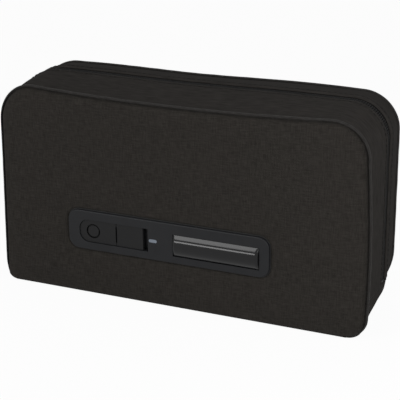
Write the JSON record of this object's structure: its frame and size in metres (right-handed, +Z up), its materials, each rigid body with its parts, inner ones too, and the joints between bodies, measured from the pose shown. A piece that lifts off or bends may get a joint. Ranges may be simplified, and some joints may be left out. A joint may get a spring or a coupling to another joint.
{
  "type": "uv sterilizer pouch",
  "caption": "Zipped fabric pouch with padded front and rear, and a lamp module low in the front: round button, hinged port flap, indicator light and bulged clear window.",
  "frame": {"origin": "middle of the flat base, on the surface it stands on", "axes": "+X along the width to the viewer's right, the front with the lamp module faces -Y, +Z up"},
  "size_m": [0.2371, 0.0703, 0.131],
  "materials": {
    "canvas": "plain woven canvas",
    "gusset_cloth": "smooth twill",
    "piping_cloth": "bias binding",
    "lining_foil": "silver coated lining",
    "padding": "closed cell foam",
    "stiffener": "extruded sheet",
    "zip_tape": "woven tape",
    "zip_coil": "nylon filament",
    "zip_metal": "black enamelled die casting",
    "bezel_plastic": "fine moulded texture",
    "pad_rubber": "soft touch",
    "seal_rubber": "soft foam seal",
    "housing_plastic": "moulded",
    "window_clear": "smoked clear moulding",
    "light_guide": "lit clear moulding",
    "lamp_glass": "clear tube",
    "quartz": "polished",
    "lamp_cap": "heat resistant moulding",
    "mirror_sheet": "polished sheet",
    "circuit": "solder mask",
    "component_black": "moulded",
    "led_body": "moulded",
    "battery_wrap": "foil pouch",
    "plated_steel": "nickel plated",
    "screw_steel": "zinc plated"
  },
  "bodies": {
    "rear_half": {"rear_panel": "canvas", "base_panel": "canvas", "base_board": "stiffener", "rear_foam": "padding", "rear_lining": "lining_foil", "rear_gusset": "gusset_cloth", "left_web": "gusset_cloth", "right_web": "gusset_cloth", "rear_piping": "piping_cloth", "rear_zip_tape": "zip_tape", "rear_zip_coil": "zip_coil", "zip_stops": "zip_metal"},
    "front_half": {"front_panel": "canvas", "front_gusset": "gusset_cloth", "front_piping": "piping_cloth", "front_lining": "lining_foil", "front_foam": "padding", "front_zip_tape": "zip_tape", "front_zip_coil": "zip_coil", "bezel": "bezel_plastic", "control_pad": "pad_rubber", "gasket": "seal_rubber", "backing_frame": "housing_plastic", "module_housing": "housing_plastic", "lamp_holders": "housing_plastic", "lamp_guard": "housing_plastic", "window_lens": "window_clear", "light_pipe": "light_guide", "uv_lamp": "lamp_glass", "quartz_plate": "quartz", "lamp_caps": "lamp_cap", "reflector": "mirror_sheet", "circuit_board": "circuit", "tact_switch": "component_black", "lamp_transformer": "component_black", "status_led": "led_body", "battery_cell": "battery_wrap", "usb_receptacle": "plated_steel", "housing_screws": "screw_steel"},
    "button": {"power_button": "pad_rubber"},
    "flap": {"port_flap": "pad_rubber"},
    "slider": {"zip_slider": "zip_metal"},
    "pull": {"zip_pull": "zip_metal"}
  },
  "joints": [
    {"name": "mouth_open", "type": "hinge", "parent": "rear_half", "child": "front_half", "pos_m": [0, -0.0308, 0.00315], "axis": [1, 0, 0], "range_deg": [0, 55], "deforming": ["front_zip_coil"]},
    {"name": "button_press", "type": "slide", "parent": "front_half", "child": "button", "axis": [0, 1, 0], "range_m": [0, 0.0008], "stiffness_N_per_m": 1500, "springref_m": -0.0003},
    {"name": "flap_open", "type": "hinge", "parent": "front_half", "child": "flap", "pos_m": [-0.0378, -0.0312, 0.0416], "axis": [0, 0, -1], "range_deg": [0, 100], "stiffness_Nm_per_rad": 0.002, "springref_deg": -5.73},
    {"name": "zip_slide", "type": "slide", "parent": "rear_half", "child": "slider", "axis": [0, 0, 1], "range_m": [0, 0.07], "deforming": ["front_zip_coil", "rear_zip_coil"]},
    {"name": "pull_swing", "type": "hinge", "parent": "slider", "child": "pull", "pos_m": [-0.11885, 0.004, 0.02885], "axis": [0, 1, 0], "range_deg": [0, 150]}
  ]
}
